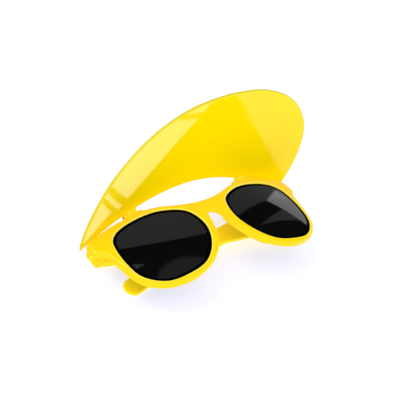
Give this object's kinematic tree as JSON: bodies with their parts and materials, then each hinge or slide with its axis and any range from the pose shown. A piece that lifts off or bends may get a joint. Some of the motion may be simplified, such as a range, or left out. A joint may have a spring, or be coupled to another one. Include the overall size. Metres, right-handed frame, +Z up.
{
  "type": "sunglasses with a hinged sun visor",
  "caption": "Glossy plastic sunglasses with dark lenses, folding temples and an arched translucent sun visor hinged on the brow.",
  "frame": {"origin": "middle of the underside of the whole folded pair, on the surface that it lies on", "axes": "+Z up out of the lenses' faces, +Y towards the brow and the visor's hinges, +X towards the wearer's left"},
  "size_m": [0.14, 0.0598, 0.0964],
  "materials": {
    "frame_plastic": "high gloss injection-moulded yellow plastic",
    "visor_plastic": "glossy translucent yellow sheet",
    "lens_tint": "near-black polished sun lens",
    "steel": "bright turned steel"
  },
  "bodies": {
    "temple_left_arm": {"temple_left": "frame_plastic"},
    "front": {"frame_front": "frame_plastic", "lens_left": "lens_tint", "lens_right": "lens_tint", "hinge_screw_left": "steel", "hinge_screw_right": "steel", "visor_bracket_left": "frame_plastic", "visor_bracket_right": "frame_plastic", "visor_pin_left": "steel", "visor_pin_right": "steel"},
    "temple_right_arm": {"temple_right": "frame_plastic"},
    "visor": {"visor_shade": "visor_plastic"}
  },
  "joints": [
    {"name": "temple_hinge_left", "type": "hinge", "parent": "temple_left_arm", "child": "front", "pos_m": [0.065, 0.01472, 0.003], "axis": [0, 1, 0], "range_deg": [0, 90]},
    {"name": "temple_hinge_right", "type": "hinge", "parent": "front", "child": "temple_right_arm", "pos_m": [-0.065, 0.01472, 0.003], "axis": [0, 1, 0], "range_deg": [0, 94.2]},
    {"name": "visor_hinge", "type": "hinge", "parent": "front", "child": "visor", "pos_m": [0, 0.02422, 0.0171], "axis": [1, 0, 0], "range_deg": [-10, 60]}
  ]
}
